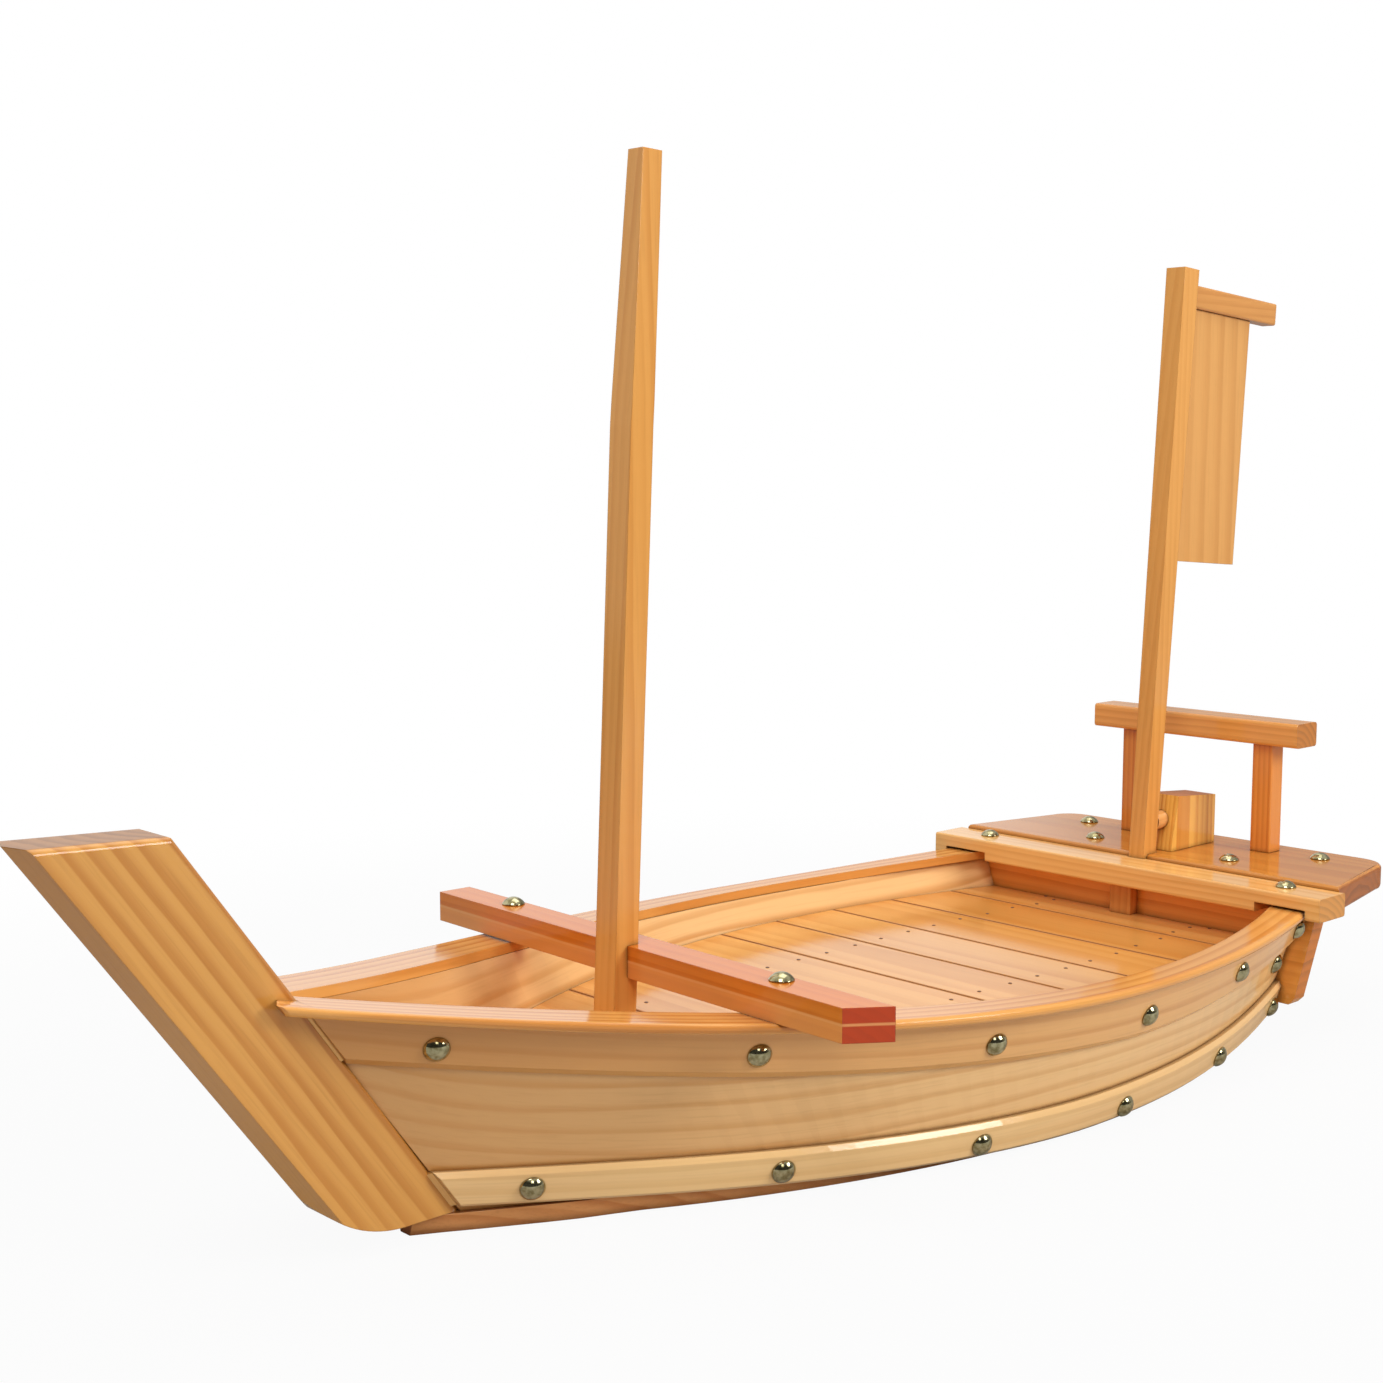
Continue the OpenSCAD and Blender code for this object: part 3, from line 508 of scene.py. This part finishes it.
# %% [markdown]
# ## The serving floor
# The floor is laid of short boards across the boat, cut from different planks, so each has its own tone
# and its own rings. One finish serves them all: the joint numbers are counted along the boat, and that
# number moves the heart and the tone from board to board. Beside the joints the wood is darker, painted
# shade for the shadow in the gaps between the boards, and it is rougher there.

# %% Finish of the floor boards
joint_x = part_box("floor_board_2")[0].x
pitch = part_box("floor_board_3")[0].x - joint_x
half_gap = 0.0004


def own_board(nodes, place):
    """Moves the pattern to a place of its own for each board."""
    x, y, z = nodes.split(place)
    number = ((-1 * y - joint_x + half_gap) / pitch).floor()
    chance = nodes.chance(number + 0.5)
    middle_of_board = (number + 0.5) * pitch + joint_x
    moved_y = y + middle_of_board + (chance - 0.5) * 0.05
    return nodes.add("CombineXYZ", {}, {0: x + number * 3.0, 1: moved_y, 2: z + chance * 0.015})


def board_tone_and_joint_shade(nodes, spot, colour, rougher):
    count = (nodes.split(spot)[0] - joint_x + half_gap) / pitch
    chance = nodes.chance(count.floor() + 7.5)
    colour = nodes.blend(chance * 0.4, colour, tone(210, 134, 60))
    from_joint = (0.5 - abs(count.part() - 0.5)) * pitch
    # Painted shade: the wood next to each joint is darkened, for the shadow in the gap between the boards.
    painted_joint_shade = 1 - from_joint.ease(0.0009, 0.0019)
    return nodes.blend(painted_joint_shade * 0.7, colour, tone(146, 80, 30)), rougher + 0.5 * painted_joint_shade


floor_finish = pine("pine_floor", tone(232, 168, 92), tone(206, 132, 60), **along_y,
                    heart=(0.0, 0.016), ring=0.0052, drift=0.01, seed=201.0, depth=0.75, corners=0.25,
                    shift=own_board, extra=board_tone_and_joint_shade)
floor_boards = ["floor_board_%d" % number for number in range(1, 13)]
dress(floor_finish, *floor_boards)
print("board pitch:", round(pitch * 1000, 2), "mm")
print("nodes without a finish yet:", sorted(set(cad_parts) - set(dressed)))

# %% [markdown]
# ## Where the nails are
# The nails are old brass with polished domes. The CAD heads are cut into flat facets, which a mirror-like
# metal shows at once, so each head is made again. First the CAD heads are found: the points of a node
# fall into heaps, one heap to a head, and the flattest direction of a heap is the way its head looks.

# %% Measure the CAD heads
head_reach = 0.0118
thin_slice = 0.0002


def heads_of(name):
    """The foot and the direction of each head in a CAD node."""
    left = np.unique(np.array([v.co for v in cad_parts[name].data.vertices]).round(7), axis=0)
    found = []
    while len(left):
        near = np.linalg.norm(left - left[0], axis=1) < head_reach
        head, left = left[near], left[~near]
        centre = head.mean(0)
        axis = np.linalg.svd(head - centre)[2][2]
        height = (head - centre) @ axis
        breadth = np.linalg.norm((head - centre) - np.outer(height, axis), axis=1)
        high_end = height > height.max() - thin_slice
        low_end = height < height.min() + thin_slice
        if breadth[high_end].mean() > breadth[low_end].mean():
            axis, low_end = -axis, high_end
        found.append((Vector(head[low_end].mean(0)), Vector(axis)))
    return found


print("heads on the port side:", len(heads_of("hull_nails_port")))

# %% [markdown]
# ## A smooth dome
# A dome is the cap of a ball. One cut keeps the cap, a short lip is drawn down at its rim, and the foot
# is closed. It is made once, and a copy of it is set where each CAD head is, square to the wood.

# %% Make one dome
nail_radius = 0.0053
nail_height = 0.0032
nail_lip = 0.0004
ball_radius = (nail_radius ** 2 + nail_height ** 2) / (2 * nail_height)


def open_edges(bm):
    return [e for e in bm.edges if e.is_boundary]


def make_dome():
    """One head, standing on the origin and looking up."""
    bm = bmesh.new()
    bmesh.ops.create_uvsphere(bm, u_segments=32, v_segments=26, radius=ball_radius)
    bmesh.ops.translate(bm, vec=(0, 0, nail_height - ball_radius), verts=bm.verts)
    ball = list(bm.verts) + list(bm.edges) + list(bm.faces)
    bmesh.ops.bisect_plane(bm, geom=ball, plane_co=(0, 0, nail_lip), plane_no=(0, 0, -1), clear_outer=True)
    drawn = bmesh.ops.extrude_edge_only(bm, edges=open_edges(bm))["geom"]
    lip = [v for v in drawn if isinstance(v, bmesh.types.BMVert)]
    bmesh.ops.translate(bm, vec=(0, 0, -nail_lip), verts=lip)
    bmesh.ops.holes_fill(bm, edges=open_edges(bm))
    mesh = bpy.data.meshes.new("dome")
    bm.to_mesh(mesh)
    bm.free()
    return mesh


def add_head(bm, dome, foot, axis):
    """Sets a copy of the dome on its foot, looking along the axis."""
    bm.from_mesh(dome)
    copy = list(bm.verts)[-len(dome.vertices):]
    turn = Vector((0, 0, 1)).rotation_difference(axis).to_matrix().to_4x4()
    bmesh.ops.transform(bm, matrix=Matrix.Translation(foot) @ turn, verts=copy)


def piece(name, bm, material):
    """A finished mesh piece that rides with the boat."""
    bmesh.ops.recalc_face_normals(bm, faces=bm.faces)
    mesh = bpy.data.meshes.new(name)
    bm.to_mesh(mesh)
    bm.free()
    mesh.polygons.foreach_set("use_smooth", [len(p.vertices) < 5 for p in mesh.polygons])
    made = bpy.data.objects.new(name, mesh)
    bpy.context.scene.collection.objects.link(made)
    made.data.materials.append(material)
    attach(made, "root")
    return made


dome = make_dome()
print("points of a dome:", len(dome.vertices), "on a ball of radius", round(ball_radius * 1000, 2), "mm")

# %% [markdown]
# ## Old brass
# The domes are dark, greenish brass, with patches of duller tarnish. Metal shows
# the room more than itself, so the colour is dark and low in saturation, and a noise makes the shine
# uneven.

# %% The brass finish and the heads
brass_relief = 0.00006
brass, brass_nodes, brass_shader = new_finish("old_brass")
brass_spot = brass_nodes.add("TexCoord", out="Object")
tarnish = brass_nodes.noise(brass_spot, (420, 420, 420), 1.0, 3.0)
brass_tone = brass_nodes.blend(tarnish.ease(0.3, 0.7), tone(196, 188, 148), tone(140, 130, 92))
brass_nodes.feed(brass_shader.inputs["Base Color"], brass_tone)
brass_nodes.feed(brass_shader.inputs["Roughness"], 0.07 + 0.1 * tarnish)
brass_shader.inputs["Metallic"].default_value = 1.0
scratch = brass_nodes.noise(brass_spot, (900, 900, 900), 2.0)
dents = brass_nodes.add("Bump", {}, {"Strength": 0.2, "Distance": brass_relief, "Height": scratch})
brass_nodes.feed(brass_shader.inputs["Normal"], dents)

for group in ["hull_nails_port", "hull_nails_starboard", "fore_beam_nails", "aft_beam_nails", "deck_nails"]:
    heads = heads_of(group)
    bm = bmesh.new()
    for foot, axis in heads:
        add_head(bm, dome, foot, axis)
    domes = piece(group + "_domes", bm, brass)
    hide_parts(group)
    print(group, len(heads), "heads")
bpy.data.meshes.remove(dome)

# %% [markdown]
# ## One brad
# Small brads hold the floor boards to the bearers under them. Only their ends show, as dark dots in the
# wood. They are too small for the CAD model, so each one is a low cone here, hardly proud of the floor.

# %% The finish of the brads and one brad
brad_finish, brad_nodes, brad_shader = new_finish("brad_ends")
rust = brad_nodes.noise(brad_nodes.add("TexCoord", out="Object"), (800, 800, 800), 3.0)
brad_tone = brad_nodes.blend(rust, tone(74, 44, 26), tone(118, 72, 38))
brad_nodes.feed(brad_shader.inputs["Base Color"], brad_tone)
brad_nodes.feed(brad_shader.inputs["Roughness"], 0.35 + 0.2 * rust)

brad_foot, brad_top, brad_height = 0.0011, 0.0008, 0.0004
brad_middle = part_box("floor_board_6")[1].z + 0.00005


def add_brad(bm, x, y):
    bmesh.ops.create_cone(bm, segments=12, radius1=brad_foot, radius2=brad_top, depth=brad_height,
                          cap_ends=True, matrix=Matrix.Translation((x, y, brad_middle)))


print("height of the brads' middles:", round(brad_middle * 1000, 2), "mm")

# %% [markdown]
# ## The rows of brads
# Each board has two brads on either side. Their distance from the middle grows slowly towards the stern,
# and at the bow they stay on the narrow boards. Three more stand along the last board's edge. All of
# them are one piece.

# %% The floor's brads
brad_rows = [(-0.064, 0.0414), (-0.042, 0.0438), (0.024, 0.048), (0.064, 0.048), (0.0875, 0.0489),
             (0.1275, 0.0498), (0.1875, 0.0522), (0.24, 0.0535)]
row_x, row_y = zip(*brad_rows)
first_share, second_share = 0.26, 0.79
widest_share = 0.45
stagger = 0.0006
edge_inset = 0.0016

bm = bmesh.new()
for board in floor_boards:
    low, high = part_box(board)
    for share in (first_share, second_share):
        x = low.x + share * (high.x - low.x)
        y = min(float(np.interp(x, row_x, row_y)), widest_share * high.y)
        for side in (-1, 1):
            add_brad(bm, x + stagger * side, side * y)
last_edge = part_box(floor_boards[-1])[1].x
for y in (-0.052, -0.0058, 0.052):
    add_brad(bm, last_edge - edge_inset, y)
print("points of the brads:", len(bm.verts))
piece("floor_brads", bm, brad_finish)

# %% [markdown]
# ## Filler at the stem
# Where the wales' cut ends meet the rounded edge of the stem, the real boat's joint is filled and
# lacquered over. The CAD model leaves a fine groove there, which would show as a dark line. A narrow
# three-sided strip of filler lies in each of the four grooves: its long face runs from the stem's side
# to the wale's corner. It is one triangle, drawn out along the rake of the stem.

# %% The four strips of filler
stem_back = Vector((-0.3171, 0.0, 0.1659))
down_stem = Vector((tan(rake), 0, -1))
towards_nose = Vector((-cos(rake), 0, -sin(rake)))
stem_side, eased_corner = 0.01164, 0.0105


def add_strip(bm, side, ahead, corner, top, foot):
    """A strip from height top to height foot. Corner is how far out the wale's outer corner is."""
    start = stem_back + down_stem * (stem_back.z - top)
    section = [start + towards_nose * ahead + Vector((0, side * stem_side, 0)),
               start + Vector((0.0001, side * corner, 0)),
               start + Vector((0, side * eased_corner, 0))]
    points = [bm.verts.new(point) for point in section]
    end = bmesh.ops.contextual_create(bm, geom=points)["faces"]
    drawn = bmesh.ops.extrude_face_region(bm, geom=end)["geom"]
    far_points = [v for v in drawn if isinstance(v, bmesh.types.BMVert)]
    bmesh.ops.translate(bm, vec=down_stem * (top - foot), verts=far_points)


bm = bmesh.new()
for side in (-1, 1):
    add_strip(bm, side, ahead=0.0012, corner=0.01215, top=0.0968, foot=0.0775)
    add_strip(bm, side, ahead=0.0017, corner=0.0137, top=0.0266, foot=0.0115)
print("open edges of the strips:", sum(1 for e in bm.edges if len(e.link_faces) != 2))
# The filler's tones are lighter than the stem's: painted light, which offsets the shade on its forward
# faces and stands for the highlight along the stem's back edge.
lightened_filler = pine("stem_filler", tone(242, 186, 110), tone(224, 158, 80), at=middle("stem_post"), **up_stem,
              heart=(0.012, -0.040), ring=0.0064, seed=211.0, corners=0.2)
strips = piece("stem_filler_strips", bm, lightened_filler)
strips.data.polygons.foreach_set("use_smooth", [False] * len(strips.data.polygons))

# %% [markdown]
# ## Lamps
# The picture has soft light from above and from the camera's side. Two soft lamps off the port side, one
# near the camera and one farther aft, give the nails their two bright spots. Two more from above light
# the floor of the boat: one high behind the camera, and one over the stern.


# %% Four soft lamps
def lamp(name, spot, aim, size, power):
    light = bpy.data.lights.new(name, "AREA")
    light.shape = "RECTANGLE"
    light.size, light.size_y = size
    light.energy = power
    made = bpy.data.objects.new(name, light)
    bpy.context.scene.collection.objects.link(made)
    made.location = spot
    made.rotation_euler = (Vector(aim) - Vector(spot)).to_track_quat("-Z", "Y").to_euler()


centre = (0.05, 0.0, 0.06)
lamp("high_softbox", (-1.12, -0.65, 2.30), centre, (0.9, 0.9), 25.0)
lamp("left_softbox", (-0.75, -1.20, 0.95), centre, (0.42, 0.48), 2.6)
lamp("right_softbox", (0.62, -1.45, 0.85), centre, (0.6, 0.6), 13.0)
lamp("top_softbox", (0.35, 0.15, 1.5), centre, (1.0, 1.0), 5.0)
print("lamps:", len(bpy.data.lights))

# %% [markdown]
# ## The room
# The world is white to the camera. Shiny surfaces see it white on the far side of the boat, and dimmer
# behind the camera and to its right, as a room is, which gives the domes their dark middle. Everything
# else gets an even, weaker light from it, at which the wood renders about as its tones are written.

# %% World
away_from_camera = (0.62, 0.66, 0.43)
camera_right = (0.73, -0.68, 0.0)
plain_light = 0.41
world = bpy.data.worlds.new("studio")
bpy.context.scene.world = world
world.use_nodes = True
room = Nodes(world.node_tree)
ray_kinds = ("Is Camera Ray", "Is Glossy Ray", "Is Transmission Ray")
camera_ray, glossy_ray, clear_ray = room.add("LightPath", out=ray_kinds)
look = room.add("TexCoord", out="Generated")
behind = 0.06 + 0.5 * room.dot(look, (0, 0, 1)).ease(0.5, 0.8)
far_side = room.dot(look, away_from_camera).ease(-0.3, 0.4)
right_side = room.dot(look, camera_right).ease(0.13, 0.24)
seen_in_gloss = behind + (1 - behind) * far_side * (1 - 0.62 * right_side)
seen = room.larger(camera_ray, (glossy_ray + clear_ray) * seen_in_gloss)
unseen = 1 - room.larger(camera_ray, glossy_ray + clear_ray)
background = world.node_tree.nodes["Background"]
room.feed(background.inputs["Strength"], seen + unseen * plain_light)
background.inputs["Color"].default_value = (1, 1, 1, 1)
print("world nodes:", len(world.node_tree.nodes))

# %% [markdown]
# ## The ground
# The boat stands on white paper. A matt sheet alone would render grey under this light, so the camera
# sees it glow white, with a small share of the matt sheet left near the boat: that share keeps the soft
# shadow, and it fades out with the distance.

# %% Floor
bm = bmesh.new()
bmesh.ops.create_grid(bm, x_segments=2, y_segments=2, size=5.0)
mesh = bpy.data.meshes.new("floor")
bm.to_mesh(mesh)
bm.free()
floor = bpy.data.objects.new("floor", mesh)
bpy.context.scene.collection.objects.link(floor)

paper, paper_nodes, paper_shader = new_finish("studio_floor")
paper.node_tree.nodes.remove(paper_shader)
spot = paper_nodes.add("TexCoord", out="Object")
reach = paper_nodes.add("VectorMath", {"operation": "LENGTH"}, {0: spot}, out="Value").ease(0.35, 0.8)
looked_at = paper_nodes.add("LightPath", out="Is Camera Ray")
matt = paper_nodes.add("BsdfDiffuse", {}, {"Color": (0.50, 0.50, 0.50, 1)})
white = paper_nodes.add("Emission", {}, {"Color": (1, 1, 1, 1), "Strength": 1.0})
mixed = paper_nodes.add("MixShader", {}, {0: looked_at * (0.94 + 0.06 * reach), 1: matt, 2: white})
paper_nodes.feed(paper.node_tree.nodes["Material Output"].inputs["Surface"], mixed)
floor.data.materials.append(paper)

bpy.context.scene.view_settings.view_transform = "Standard"
print("floor nodes:", len(paper.node_tree.nodes))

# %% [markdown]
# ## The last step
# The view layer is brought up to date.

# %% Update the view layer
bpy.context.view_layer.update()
